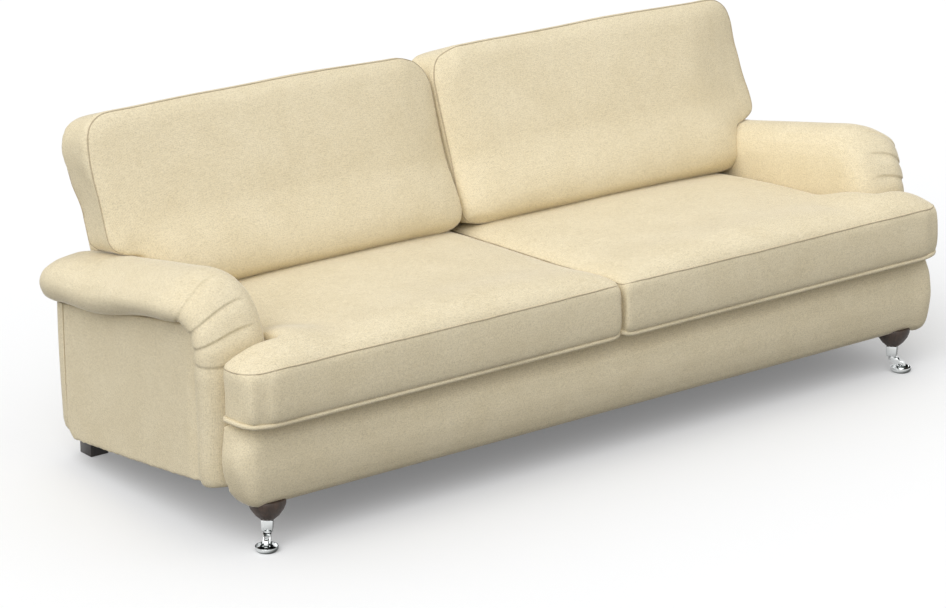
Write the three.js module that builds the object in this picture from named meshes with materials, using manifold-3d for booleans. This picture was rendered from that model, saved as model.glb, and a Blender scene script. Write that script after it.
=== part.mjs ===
// English roll arm sofa: hardwood frame, webbed seat, padded roll arms, loose T-shaped cushions,
// turned front legs on swivel castors in cups, block feet at the back.
// Millimetres, +Z up, -Y is the front. Lengths along Y are first counted from the front of the
// seat cushions towards the back, and the whole part is then moved so that its middle is at zero.
import * as THREE from 'three';
import { mergeVertices } from 'three/addons/utils/BufferGeometryUtils.js';
import Module from 'manifold-3d';

const wasm = await Module();
wasm.setup();

// Fits
const gap = 0.3;               // between pieces that touch
const softGap = 0.6;           // between loose cushions and what they lie against
const cutOver = 20;            // how far a cut runs past the wood

// Seat
const seatHalfWidth = 1090;    // middle of the sofa to the side of the T-shaped cushion
const insideHalfWidth = 925;   // middle to the inside face of an arm, at the front
const earDepth = 102;          // front part of the seat cushion that wraps the arm
const earFit = 8;              // ear of the cushion to the arm front
const seatLength = 715;
const cushionThickness = 128;  // at the seams
const deckHeight = 318;        // top of the seat deck at its front edge
const deckFall = 27;           // how much lower the deck is at its back
const deckLength = 800;
const deckThickness = 24;
const seatCrown = 26;
const cornerRadius = 58;
const seatLip = 7;             // thick seam that stands out along the lower front edge
const lipHeight = 13;

// Arms
const armFaceWidth = 192;      // inside face to the outer ridge of the front column
const rollOverhang = 32;       // roll beyond the ridge
const rollDepth = 112;         // top of the roll to the crease below it
const crestHeight = 616;       // top of the arm's nose
const armRear = 880;
const armFall = 110;           // how much lower the arm is at its back than over its nose
const noseRadius = 165;
const columnBottom = 143;
const armToe = 31;             // how far the arms draw in towards the back
const panelInset = 20;         // ridge of the column to the outside panel
const panelThickness = 12;
const armEndRadius = 40;       // round foot of the column
const armRearRadius = 60;      // round back end of the roll

// Base
const borderFront = 24;
const borderBottom = 106;
const borderHalfWidth = 1086;
const borderRound = 50;
const railFront = 48;
const railThickness = 46;
const railBottom = 112;
const railHalfWidth = 1030;
const baseFront = 156;         // underside of the side panel below the column
const baseRear = 64;           // underside at the back
const boardThickness = 28;
const stretcherDepth = 60;
const blockSide = 70;          // corner blocks

// Back
const backLean = 19.6;         // degrees
const backSeat = 731;          // front of the inside back where it starts to lean
const leanHeight = 440;
const backPadDepth = 72;
const postDepth = 45;
const backTop = 782;
const outerBack = 5;           // cloth and board of the outside back
const backHalfWidth = 950;
const rearWidest = 1067;
const rearCorner = 45;
const backCorner = 18;

// Back cushions
const backCushionThickness = 109;
const backCushionCrown = 30;
const backEarHalf = 1044;      // above the arms
const backTopHalf = 1012;
const backFootHalf = 945;      // pressed between the arms
const backCushionTop = 872;
const backCushionBottom = 450;
const backEarHeight = 560;

// Legs and castors
const legInset = 96;           // end of the border to the middle of a leg
const legY = 70;
const bunRadius = 44;
const bunHeight = 37;
const bunFoot = 17;
const studRadius = 5;
const studLength = 60;
const socketTop = 28;
const socketFoot = 22;
const castorHeight = 41;       // floor to the underside of the socket
const castorTrail = 24.6;
const wheelRadius = 13;
const wheelWidth = 11;
const forkWall = 3;
const axleRadius = 2.4;
const cupRadius = 27;
const cupHeight = 12;
const cupFloor = 3;
const footSide = 50;
const footInset = 63;          // outside of the back to the back foot
const footRear = 855;

// Webbing
const strapWidth = 50;
const strapThickness = 2.4;
const strapCount = 8;
const crossCount = 3;
const dustThickness = 1.5;

// Materials, from the photograph
const paint = (colour, roughness, metalness) =>
    new THREE.MeshStandardMaterial({ color: colour, roughness, metalness });
const cloth = paint(0xd8caa6, 0.95, 0);
const beech = paint(0xb08a5e, 0.75, 0);
const jute = paint(0x9a7d50, 0.95, 0);
const walnut = paint(0x40281c, 0.45, 0);
const darkWood = paint(0x1c1614, 0.6, 0);
const chrome = paint(0xd9dadc, 0.12, 1);
const blackCloth = paint(0x1b1b1c, 0.95, 0);

// Solids
const merged = (geometry) => {
    const bare = geometry.index ? geometry.toNonIndexed() : geometry.clone();
    for (const name of ['normal', 'uv']) bare.deleteAttribute(name);
    return mergeVertices(bare, 1e-4);
};
const toSolid = (geometry) => {
    const g = merged(geometry);
    return new wasm.Manifold(new wasm.Mesh({
        numProp: 3,
        vertProperties: new Float32Array(g.attributes.position.array),
        triVerts: new Uint32Array(g.index.array),
    }));
};
const toGeometry = (solid) => {
    const mesh = solid.getMesh();
    const g = new THREE.BufferGeometry();
    g.setAttribute('position', new THREE.BufferAttribute(new Float32Array(mesh.vertProperties), 3));
    g.setIndex(new THREE.BufferAttribute(new Uint32Array(mesh.triVerts), 1));
    return g;
};
const cut = (geometry, ...tools) => {
    let solid = toSolid(geometry);
    for (const tool of tools) solid = solid.subtract(toSolid(tool));
    return toGeometry(solid);
};
const join = (geometry, ...others) => {
    let solid = toSolid(geometry);
    for (const other of others) solid = solid.add(toSolid(other));
    return toGeometry(solid);
};
const mirrored = (geometry) => {
    const g = merged(geometry);
    g.scale(-1, 1, 1);
    const index = g.index.array;
    for (let i = 0; i < index.length; i += 3) [index[i], index[i + 1]] = [index[i + 1], index[i]];
    return g;
};

const sofa = new THREE.Group();
const place = (name, geometry, material, parent = sofa) => {
    const mesh = new THREE.Mesh(merged(geometry), material);
    mesh.name = name;
    parent.add(mesh);
    return mesh;
};
// One piece for each side; the geometry is made for the right-hand side
const placePair = (name, geometry, material) => {
    place(`${name}_right`, geometry, material);
    place(`${name}_left`, mirrored(geometry), material);
};

// A closed skin over rings of points, each ring going the same way round
const loft = (rings) => {
    const count = rings[0].length;
    const points = rings.flat();
    const triangles = [];
    for (let r = 0; r + 1 < rings.length; r++) {
        for (let i = 0; i < count; i++) {
            const j = (i + 1) % count;
            const [a, b, c, d] = [r * count + i, r * count + j, (r + 1) * count + j, (r + 1) * count + i];
            triangles.push(a, b, c, a, c, d);
        }
    }
    for (const [ring, turned] of [[0, true], [rings.length - 1, false]]) {
        const centre = new THREE.Vector3();
        rings[ring].forEach((p) => centre.add(p));
        points.push(centre.divideScalar(count));
        for (let i = 0; i < count; i++) {
            const [a, b] = [ring * count + i, ring * count + (i + 1) % count];
            triangles.push(...(turned ? [points.length - 1, b, a] : [points.length - 1, a, b]));
        }
    }
    const g = new THREE.BufferGeometry().setFromPoints(points);
    g.setIndex(triangles);
    return toSolid(g).volume() < 0 ? flipped(g) : g;
};
const flipped = (geometry) => {
    const index = geometry.index.array;
    for (let i = 0; i < index.length; i += 3) [index[i], index[i + 1]] = [index[i + 1], index[i]];
    return geometry;
};

// An outline in Y and Z drawn along X, and an outline in X and Z drawn along Y
const shapeOf = (points) => new THREE.Shape(points.map(([a, b]) => new THREE.Vector2(a, b)));
const alongX = (outline, from, to) => new THREE.ExtrudeGeometry(shapeOf(outline),
    { depth: to - from, bevelEnabled: false })
    .applyMatrix4(new THREE.Matrix4().makeBasis(new THREE.Vector3(0, 1, 0),
        new THREE.Vector3(0, 0, 1), new THREE.Vector3(1, 0, 0)))
    .translate(from, 0, 0);
const block = (x0, x1, y0, y1, z0, z1) => new THREE.BoxGeometry(x1 - x0, y1 - y0, z1 - z0)
    .translate((x0 + x1) / 2, (y0 + y1) / 2, (z0 + z1) / 2);

// Lines that several pieces follow
const deckAt = (y) => deckHeight - deckFall * y / deckLength;
const armFront = earDepth + earFit;
const baseAt = (y) => baseFront + (baseRear - baseFront) * (y - armFront) / (footRear - armFront);
const toeAt = (y) => -armToe * (y - armFront) / (armRear - armFront);
const insideAt = (y) => insideHalfWidth + toeAt(y);
const leanTan = Math.tan(backLean * Math.PI / 180);
const leanAt = (z) => Math.max(0, z - leanHeight) * leanTan;
const backFaceAt = (z) => backSeat + (z - leanHeight) * leanTan;
const postFront = backSeat + backPadDepth;
const padTopRound = backPadDepth * 0.6;
const overallRear = postFront + postDepth + leanAt(backTop - padTopRound);

const legX = borderHalfWidth - legInset;

// The line of the arm's crest in side view: straight along the arm, round the nose, down the column
const armSlope = Math.atan2(armFall, armRear - armFront - noseRadius);
const noseCentre = { y: armFront + noseRadius, z: crestHeight - noseRadius };
const crestPoint = (angle) => new THREE.Vector3(0, noseCentre.y - noseRadius * Math.sin(angle),
    noseCentre.z + noseRadius * Math.cos(angle));
const armStations = () => {
    const stations = [];
    const start = crestPoint(-armSlope);
    const straight = (armRear - start.y) / Math.cos(armSlope);
    const up = new THREE.Vector3(0, Math.sin(armSlope), Math.cos(armSlope));
    const back = new THREE.Vector3(0, Math.cos(armSlope), -Math.sin(armSlope));
    const roundShares = [0, 0.04, 0.15, 0.4, 1];
    const straightShares = [0.7, 0.45, 0.2];
    for (const run of [...roundShares.map((s) => straight - armRearRadius * s),
        ...straightShares.map((s) => straight * s)]) {
        stations.push({ at: start.clone().addScaledVector(back, run), up, column: 0,
            end: straight - run, radius: armRearRadius });
    }
    const noseSteps = 12;
    for (let i = 0; i <= noseSteps; i++) {
        const angle = -armSlope + (Math.PI / 2 + armSlope) * i / noseSteps;
        const turn = THREE.MathUtils.smoothstep(i / noseSteps, 0.05, 0.75);
        stations.push({ at: crestPoint(angle), up: new THREE.Vector3(0, -Math.sin(angle), Math.cos(angle)),
            column: turn, end: armEndRadius, radius: armEndRadius });
    }
    const columnShares = [0.35, 0.7, 0.9, 0.97, 1];
    for (const share of columnShares) {
        const height = (noseCentre.z - columnBottom) * share;
        stations.push({ at: new THREE.Vector3(0, armFront, noseCentre.z - height),
            up: new THREE.Vector3(0, -1, 0), column: 1, end: noseCentre.z - columnBottom - height,
            radius: armEndRadius });
    }
    return stations;
};

// Sections of the arm as shares: across from the inside face, and down from the crest
const rollSectionShares = [[0, 1.12], [0, 0.9], [0.013, 0.62], [0.058, 0.375], [0.147, 0.16], [0.27, 0.036],
    [0.4, 0], [0.53, 0.027], [0.69, 0.125], [0.83, 0.27], [0.933, 0.39], [0.995, 0.57], [0.995, 0.71],
    [0.95, 0.875], [0.88, 0.964], [0.78, 1]];
const columnSectionShares = [[0, 1], [0, 0.55], [0.03, 0.3], [0.1, 0.12], [0.2, 0.03], [0.33, 0],
    [0.46, 0.005], [0.59, 0.02], [0.72, 0.06], [0.83, 0.13], [0.92, 0.22], [0.98, 0.34], [1, 0.46],
    [0.99, 0.56], [0.95, 0.63], [0.9, 0.7]];
const armSection = (station, spread = 0) => {
    const t = station.column;
    const ring = rollSectionShares.map(([across, down], i) => {
        const [acrossColumn, downColumn] = columnSectionShares[i];
        const x = THREE.MathUtils.lerp(across * (armFaceWidth + rollOverhang), acrossColumn * armFaceWidth, t);
        const depth = rollDepth * THREE.MathUtils.lerp(down, downColumn, t);
        return new THREE.Vector3(insideHalfWidth + x, 0, 0)
            .add(station.at).addScaledVector(station.up, -depth);
    });
    const near = Math.max(0, station.radius - station.end);
    const inset = station.radius - Math.sqrt(station.radius ** 2 - near ** 2);
    const centre = ring.reduce((sum, p) => sum.add(p), new THREE.Vector3()).divideScalar(ring.length);
    const shrink = 1 - inset / armFaceWidth + spread / rollDepth;
    ring.forEach((p) => p.sub(centre).multiplyScalar(shrink).add(centre));
    ring.forEach((p) => { p.x += toeAt(p.y); });
    return ring;
};
const shearIn = (geometry) => {
    const g = merged(geometry);
    const position = g.attributes.position;
    for (let i = 0; i < position.count; i++) position.setX(i, position.getX(i) + toeAt(position.getY(i)));
    return g;
};

// Frame of the arms
const postX = insideHalfWidth + armFaceWidth / 2 - boardThickness / 2;
const armBoardDrop = rollDepth * 0.45;
const crestAt = (y) => noseCentre.z + noseRadius / Math.cos(armSlope)
    - (y - noseCentre.y) * Math.tan(armSlope);
const armPostStart = armFront + noseRadius * 0.42;
const armBoardStart = armPostStart + postDepth * 0.7;
const armPostEnd = armPostStart + postDepth;
const boardHalf = armFaceWidth * 0.27;
const armBoardOutline = (grow, over = 0) => {
    const low = boardThickness + armBoardDrop + grow;
    const high = armBoardDrop - grow;
    const [front, rear] = [armBoardStart - grow, postFront - gap + over];
    return [[front, crestAt(front) - low], [rear, crestAt(rear) - low],
        [rear, crestAt(rear) - high], [front, crestAt(front) - high]];
};
const armPostOutline = (grow, over = 0) => {
    const [front, rear] = [armPostStart - grow, armPostEnd + grow];
    const top = (y) => crestAt(y) - armBoardDrop - boardThickness - gap + grow;
    return [[front, baseAt(front) - over], [rear, baseAt(rear) - over], [rear, top(rear)], [front, top(front)]];
};
const sideRailTop = (y) => deckAt(y) - deckThickness - strapThickness * 3;
const sideRailOutline = (grow, over = 0) => {
    const [front, rear] = [railFront + railThickness + gap - over, postFront - gap + over];
    return [[front, baseAt(front) - over], [rear, baseAt(rear) - over],
        [rear, sideRailTop(rear) + grow], [front, sideRailTop(front) + grow]];
};
const sideRailX = postX - boardThickness - gap;
const panelOuter = insideHalfWidth + armFaceWidth - panelInset;
const rearRailFront = postFront - gap - railThickness;
// Three-sided block in a corner of the base, turned to the front or the back
const cornerBlock = (y, turn, grow = 0, over = 0) => {
    const outline = new THREE.Shape([new THREE.Vector2(grow, -turn * grow),
        new THREE.Vector2(-blockSide - grow * 2.5, -turn * grow),
        new THREE.Vector2(grow, turn * (blockSide + grow * 2.5))]);
    return new THREE.ExtrudeGeometry(outline, { depth: boardThickness + grow + over, bevelEnabled: false })
        .translate(sideRailX - gap, y, baseAt(Math.min(y, y + turn * blockSide)) + gap - over);
};
const armBoardPiece = (grow) => alongX(armBoardOutline(grow), postX + boardThickness / 2 - boardHalf - grow,
    postX + boardThickness / 2 + boardHalf + grow);
const armPostPiece = (grow) => alongX(armPostOutline(grow), postX - grow, postX + boardThickness + grow);
const sideRailPiece = (grow) => alongX(sideRailOutline(grow), sideRailX - grow,
    sideRailX + boardThickness + grow);
placePair('arm_board', armBoardPiece(0), beech);
placePair('arm_post', armPostPiece(0), beech);
placePair('side_rail', sideRailPiece(0), beech);

// Padded and covered arm: the roll turns down into the front column in one sweep
const coreDrop = rollDepth * 0.8;
const armCore = () => {
    const line = armStations().map((s) => s.at.clone().addScaledVector(s.up, -coreDrop))
        .map((p) => [p.y, p.z]).filter(([y]) => y < postFront - gap);
    const low = (y) => deckAt(y) - deckThickness;
    const [rear, front] = [line[0][0], line[line.length - 1][0]];
    return shearIn(alongX([[front, low(front)], [rear, low(rear)], ...line.filter(([, z]) => z > low(front))],
        insideHalfWidth + gap, panelOuter - panelThickness - gap));
};
const armSweep = (spread) => loft(armStations().map((station) => armSection(station, spread)));
const backRoom = block(0, backHalfWidth + gap, postFront - gap, overallRear + cutOver, 0, backTop);
const armCover = cut(join(armSweep(0), armCore()),
    alongX(armBoardOutline(gap, cutOver), postX + boardThickness / 2 - boardHalf - gap,
        postX + boardThickness / 2 + boardHalf + gap),
    alongX(armPostOutline(gap, cutOver), postX - gap, postX + boardThickness + gap),
    alongX(sideRailOutline(gap, cutOver), sideRailX - gap, sideRailX + boardThickness + gap),
    cornerBlock(railFront + railThickness + gap, 1, gap, blockSide * 2), backRoom);
placePair('arm_cover', armCover, cloth);

// Outside panel of the arm, below the roll and behind the column, trimmed by both
const rearPanelEnd = postFront;
const panelOutline = () => {
    const edge = armStations().filter((s) => s.at.y < rearPanelEnd && s.end >= armEndRadius || s.column === 0)
        .map((s) => s.at.clone().addScaledVector(s.up, -rollDepth * THREE.MathUtils.lerp(0.85, 0.4, s.column)))
        .map((p) => [p.y, p.z]).filter(([y]) => y < rearPanelEnd);
    const front = edge[edge.length - 1][0];
    const round = rearCorner;
    const outline = [[front, baseAt(front)], [rearPanelEnd - round, baseAt(rearPanelEnd - round)]];
    const steps = 5;
    for (let i = 1; i <= steps; i++) {
        const angle = Math.PI / 2 * i / steps;
        outline.push([rearPanelEnd - round + round * Math.sin(angle),
            baseAt(rearPanelEnd) + round - round * Math.cos(angle)]);
    }
    outline.push([rearPanelEnd, edge[0][1]], ...edge);
    return outline;
};
placePair('outside_arm_panel', cut(shearIn(alongX(panelOutline(), panelOuter - panelThickness, panelOuter)),
    armSweep(gap * 2)), cloth);

// Base frame
const frontRail = alongX([[railFront, railBottom], [railFront + railThickness, railBottom],
    [railFront + railThickness, sideRailTop(railFront + railThickness)],
    [railFront, sideRailTop(railFront)]], -railHalfWidth, railHalfWidth);
const studHole = new THREE.CylinderGeometry(studRadius + gap, studRadius + gap, studLength + cutOver, 16)
    .rotateX(Math.PI / 2).translate(legX, legY, railBottom + (studLength - cutOver) / 2 + gap);
place('front_rail', cut(frontRail, studHole, mirrored(studHole)), beech);
const rearRailOutline = [[rearRailFront, baseAt(rearRailFront)], [postFront - gap, baseAt(postFront)],
    [postFront - gap, sideRailTop(postFront)], [rearRailFront, sideRailTop(rearRailFront)]];
place('rear_rail', alongX(rearRailOutline, -(sideRailX - gap), sideRailX - gap), beech);
const stretcherOutline = [[railFront + railThickness + gap, 0], [rearRailFront - gap, 0],
    [rearRailFront - gap, stretcherDepth], [railFront + railThickness + gap, stretcherDepth]]
    .map(([y, up]) => [y, baseAt(y) + up]);
place('seat_stretcher', alongX(stretcherOutline, -boardThickness / 2, boardThickness / 2), beech);
placePair('front_corner_block', cornerBlock(railFront + railThickness + gap, 1), beech);
placePair('rear_corner_block', cornerBlock(rearRailFront - gap, -1), beech);

// Back frame: posts sawn to the lean of the back, with rails between them
const postOutline = (front, depth, low, high) => [[front, low], [front + depth, low],
    [front + depth, leanHeight], [front + depth + leanAt(high), high], [front + leanAt(high), high],
    [front, leanHeight]];
const postLow = baseAt(postFront) + gap;
const topRailDepth = 60;
const sidePostX = backHalfWidth - backCorner - boardThickness - gap * 3;
const backPost = alongX(postOutline(postFront, postDepth - gap, postLow, backTop - backPadDepth), 0, boardThickness);
placePair('back_post', backPost.clone().translate(sidePostX, 0, 0), beech);
place('centre_back_post', backPost.clone().translate(-boardThickness / 2, 0, 0), beech);
const backRail = (low, high) => [[postFront + leanAt(low) + gap, low], [postFront + postDepth + leanAt(low) - gap, low],
    [postFront + postDepth + leanAt(high) - gap, high], [postFront + leanAt(high) + gap, high]];
for (const [name, high] of [['top_back_rail', backTop - backPadDepth], ['middle_back_rail', leanHeight + topRailDepth]]) {
    const outline = backRail(high - topRailDepth, high);
    placePair(name, alongX(outline, boardThickness / 2 + gap, sidePostX - gap), beech);
}

// Inside back: a pad between the arms that widens above them
const insideBackProfile = () => {
    const top = backTop;
    const seatEnd = seatLength + softGap;
    const bend = leanHeight - (backSeat - seatEnd) / leanTan;
    return [[seatEnd, bend], [seatEnd, deckAt(seatEnd) + gap], [postFront - gap, deckAt(postFront) + gap],
        [postFront - gap, leanHeight],
        [postFront - gap + leanAt(backTop - backPadDepth), backTop - backPadDepth + gap],
        [postFront + postDepth + leanAt(backTop - backPadDepth), backTop - backPadDepth + gap],
        [postFront + postDepth + leanAt(top - padTopRound), top - padTopRound],
        [postFront + leanAt(top) + padTopRound * 0.3, top],
        [backFaceAt(top) + padTopRound, top], [backFaceAt(top - padTopRound), top - padTopRound]];
};
const shoulder = crestAt(backSeat) + softGap;
const armNotch = (grow) => block(insideAt(postFront) - softGap - grow, rearWidest + cutOver, 0,
    overallRear + cutOver, 0, shoulder);
const insideBack = cut(alongX(insideBackProfile(), -backHalfWidth, backHalfWidth),
    armNotch(0), mirrored(armNotch(0)));
place('inside_back', insideBack, cloth);

// Outside back: a thin skin round the posts, wide below the arms' rolls and narrower above
const rearLine = (z) => postFront + postDepth + outerBack + leanAt(z);
const rollUnderside = crestAt(postFront) - rollDepth;
const skinTop = backTop - backPadDepth;
const cornerShares = [0, 0.1, 0.3, 0.6, 1];
const skinRings = (inner) => {
    const rings = [];
    const wall = inner ? outerBack : 0;
    const low = baseAt(footRear);
    const high = skinTop + (inner ? cutOver : 0);
    const step = rollUnderside - wall;
    const wide = [...cornerShares.map((s) => ({ z: low + rearCorner * s,
        half: rearWidest - rearCorner + rearCorner * Math.sqrt(1 - (1 - s) ** 2), round: rearCorner })),
        { z: step, half: rearWidest, round: rearCorner }];
    if (inner) wide.unshift({ ...wide[0], z: low - cutOver });
    const narrow = [step + gap, leanHeight, high].map((z) => ({ z, half: backHalfWidth, round: backCorner }));
    for (const level of [...wide, ...narrow]) {
        const z = level.z;
        const half = level.half - wall;
        const rear = rearLine(z) - wall;
        const front = postFront + gap + leanAt(z) - (inner ? cutOver : 0);
        const round = level.round - wall;
        const ring = [new THREE.Vector3(-half, front, z)];
        const steps = 5;
        for (const side of [-1, 1]) {
            for (let k = 0; k <= steps; k++) {
                const angle = Math.PI / 2 * (side < 0 ? k : steps - k) / steps;
                ring.push(new THREE.Vector3(side * (half - round + round * Math.cos(angle)),
                    rear - round + round * Math.sin(angle), z));
            }
        }
        ring.push(new THREE.Vector3(half, front, z));
        rings.push(ring);
    }
    return rings;
};
place('outside_back', cut(loft(skinRings(false)), loft(skinRings(true)),
    armSweep(gap * 2), mirrored(armSweep(gap * 2))), cloth);

// Webbing, woven: the straps run from rail to rail, the cross straps pass over and under them
const strapLevel = (y) => sideRailTop(y) + gap + strapThickness / 2;
const wave = strapThickness + gap;
const strapGeometry = (points, widthAxis) => loft(points.map((p, i) => {
    const next = points[Math.min(i + 1, points.length - 1)];
    const last = points[Math.max(i - 1, 0)];
    const along = next.clone().sub(last).normalize();
    const normal = new THREE.Vector3().crossVectors(widthAxis, along).normalize();
    return [[-1, -1], [1, -1], [1, 1], [-1, 1]].map(([a, b]) => p.clone()
        .addScaledVector(widthAxis, a * strapWidth / 2).addScaledVector(normal, b * strapThickness / 2));
}));
const strapPitch = 2 * (sideRailX - strapWidth) / strapCount;
const strapX = (i) => (i - (strapCount - 1) / 2) * strapPitch;
for (let i = 0; i < strapCount; i++) {
    const ends = [railFront + gap, rearRailFront + railThickness / 2];
    place(`seat_strap_${i + 1}`, strapGeometry(ends.map((y) => new THREE.Vector3(strapX(i), y, strapLevel(y))),
        new THREE.Vector3(1, 0, 0)), jute);
}
for (let k = 0; k < crossCount; k++) {
    const y = railFront + railThickness + (rearRailFront - railFront - railThickness) * (k + 1) / (crossCount + 1);
    const steps = strapCount * 6;
    const halfRun = sideRailX - gap * 2;
    const points = [];
    for (let s = 0; s <= steps; s++) {
        const x = -halfRun + 2 * halfRun * s / steps;
        const height = Math.cos(Math.PI * (x - strapX(0)) / strapPitch) * (k % 2 ? 1 : -1);
        const flat = THREE.MathUtils.clamp(height * 2, -1, 1);
        points.push(new THREE.Vector3(x, y, strapLevel(y) + flat * wave));
    }
    const across = new THREE.Vector3(0, deckLength, -deckFall).normalize();
    place(`cross_strap_${k + 1}`, strapGeometry(points, across), jute);
}

// Seat deck over the webbing, and the padded border in front of the rail
const deckSide = (y) => insideAt(y) - softGap;
const deckShape = () => {
    const rings = [];
    const steps = 6;
    for (let i = 0; i <= steps; i++) {
        const y = armFront + (postFront - gap - armFront) * i / steps;
        const [top, low] = [deckAt(y), deckAt(y) - deckThickness + strapThickness + gap];
        rings.push([[-1, low], [1, low], [1, top], [-1, top]]
            .map(([side, z]) => new THREE.Vector3(side * deckSide(y), y, z)));
    }
    return loft(rings);
};
place('seat_deck', deckShape(), cloth);
const borderSectionShares = [[0.55, 0], [0.3, 0.02], [0.12, 0.09], [0.03, 0.22], [0, 0.45], [0.02, 0.7], [0.08, 0.88],
    [0.2, 1]];
const borderEnd = armFront - gap;
const borderEndShares = [0, 0.12, 0.35, 0.7, 1];
const borderRollDepth = borderRound * 1.6;
const [borderSideShare, borderRiseShare] = [0.9, 0.8];
const borderDropShare = 0.07;
const borderRings = () => {
    const rings = [];
    const xs = [...borderEndShares.map((s) => -borderHalfWidth + borderRound * s),
        ...borderEndShares.map((s) => borderHalfWidth - borderRound * (1 - s))];
    for (const x of xs) {
        const near = Math.max(0, Math.abs(x) - (borderHalfWidth - borderRound));
        const inset = borderRound - Math.sqrt(Math.max(0, borderRound ** 2 - near ** 2));
        const depth = borderEnd - borderFront - inset * borderSideShare;
        const rise = inset * borderRiseShare;
        const full = 1 - borderDropShare * inset / borderRound;
        const ring = borderSectionShares.map(([back, up]) => {
            const y = borderEnd - depth + back * borderRollDepth;
            return new THREE.Vector3(x, y, borderBottom + rise * (1 - up) + up * (deckAt(y) - borderBottom) * full);
        });
        ring.push(new THREE.Vector3(x, borderEnd, deckAt(borderEnd)),
            new THREE.Vector3(x, borderEnd, borderBottom + rise));
        rings.push(ring);
    }
    return rings;
};
const railRoom = alongX([[railFront - gap, railBottom - gap], [borderEnd + cutOver, railBottom - gap],
    [borderEnd + cutOver, deckAt(borderEnd) - deckThickness + gap],
    [railFront - gap, deckAt(railFront) - deckThickness + gap]], -railHalfWidth - gap, railHalfWidth + gap);
const borderStud = new THREE.CylinderGeometry(studRadius + gap, studRadius + gap, cutOver * 2, 16)
    .rotateX(Math.PI / 2).translate(legX, legY, borderBottom);
place('front_border', cut(loft(borderRings()), railRoom, borderStud, mirrored(borderStud)), cloth);

// Black cloth under the seat
const dustEnd = postFront + postDepth - gap * 3;
const dustOutline = [[railFront + railThickness + gap, baseAt(railFront + railThickness) - gap],
    [dustEnd, baseAt(dustEnd) - gap], [dustEnd, baseAt(dustEnd) - gap - dustThickness],
    [railFront + railThickness + gap, baseAt(railFront + railThickness) - gap - dustThickness]];
const dustHalf = rearWidest - rearCorner * 2;
place('dust_cover', cut(alongX(dustOutline, -dustHalf, dustHalf),
    armSweep(gap * 2), mirrored(armSweep(gap * 2))), blackCloth);

// Seat cushions: a T shape between them, crowned, with sides that pull in
const seatFrontShares = [0, 0.15, 0.4, 1];
const seatRunShares = [0.3, 0.42, 0.56, 0.7, 0.84, 0.94, 0.985, 1];
const [seatFrontShare, seatRearShare] = [0.3, 0.25];
const pillowSteps = 10;
const pillowBulgeShare = 0.03;
const pillowCrownPower = 0.7;
const earSteps = [0.5, 1];
const crownAt = (share) => Math.pow(Math.sin(Math.PI * THREE.MathUtils.clamp(share, 0, 1)), pillowCrownPower);
const pillowRing = (y, left, right, ear, low, high, crown) => {
    const ring = [];
    const bulge = (high - low) * pillowBulgeShare;
    const drop = bulge * (ear > right ? 0 : 1);
    const across = [...Array(pillowSteps + 1).keys()].map((i) => left + (right - left) * i / pillowSteps);
    const outside = earSteps.map((s) => right + (ear - right) * s);
    for (const x of across) ring.push(new THREE.Vector3(x, y, low));
    outside.forEach((x, i) => ring.push(new THREE.Vector3(x, y, low + drop * earSteps[i])));
    ring.push(new THREE.Vector3(ear - bulge, y, (low + high) / 2));
    [...outside].reverse().forEach((x, i) =>
        ring.push(new THREE.Vector3(x, y, high - drop * earSteps[outside.length - 1 - i])));
    for (const x of [...across].reverse()) {
        ring.push(new THREE.Vector3(x, y, high + crown * crownAt((x - left) / (right - left))));
    }
    ring.push(new THREE.Vector3(left + bulge, y, (low + high) / 2));
    return ring;
};
const seatCushion = () => {
    const rings = [];
    const rear = seatLength;
    const ys = [...seatFrontShares.map((s) => cornerRadius * s), earDepth - earFit, earDepth,
        earDepth + softGap, earDepth + softGap * 4, ...seatRunShares.map((s) => rear * s)];
    for (const y of ys) {
        const inCorner = Math.max(0, cornerRadius - y);
        const corner = cornerRadius - Math.sqrt(cornerRadius ** 2 - inCorner ** 2);
        const right = insideAt(Math.max(y, armFront)) - softGap;
        const ear = y <= earDepth ? seatHalfWidth - corner : right;
        const frontShare = Math.min(1, Math.max(0, y) / (rear * seatFrontShare));
        const rearShare = Math.min(1, Math.max(0, rear - y) / (rear * seatRearShare));
        const rise = seatCrown * Math.sqrt(Math.sin(frontShare * Math.PI / 2) * Math.sin(rearShare * Math.PI / 2));
        rings.push(pillowRing(y, softGap / 2, right, ear, deckAt(y) + gap, deckAt(y) + gap + cushionThickness, rise));
    }
    const front = pillowRing(-seatLip, softGap / 2 + seatLip, insideHalfWidth - softGap,
        seatHalfWidth - cornerRadius - seatLip,
        deckAt(0) + gap + lipHeight, deckAt(0) + cushionThickness - lipHeight, 0);
    rings.unshift(front);
    return loft(rings);
};
placePair('seat_cushion', seatCushion(), cloth);

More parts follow.
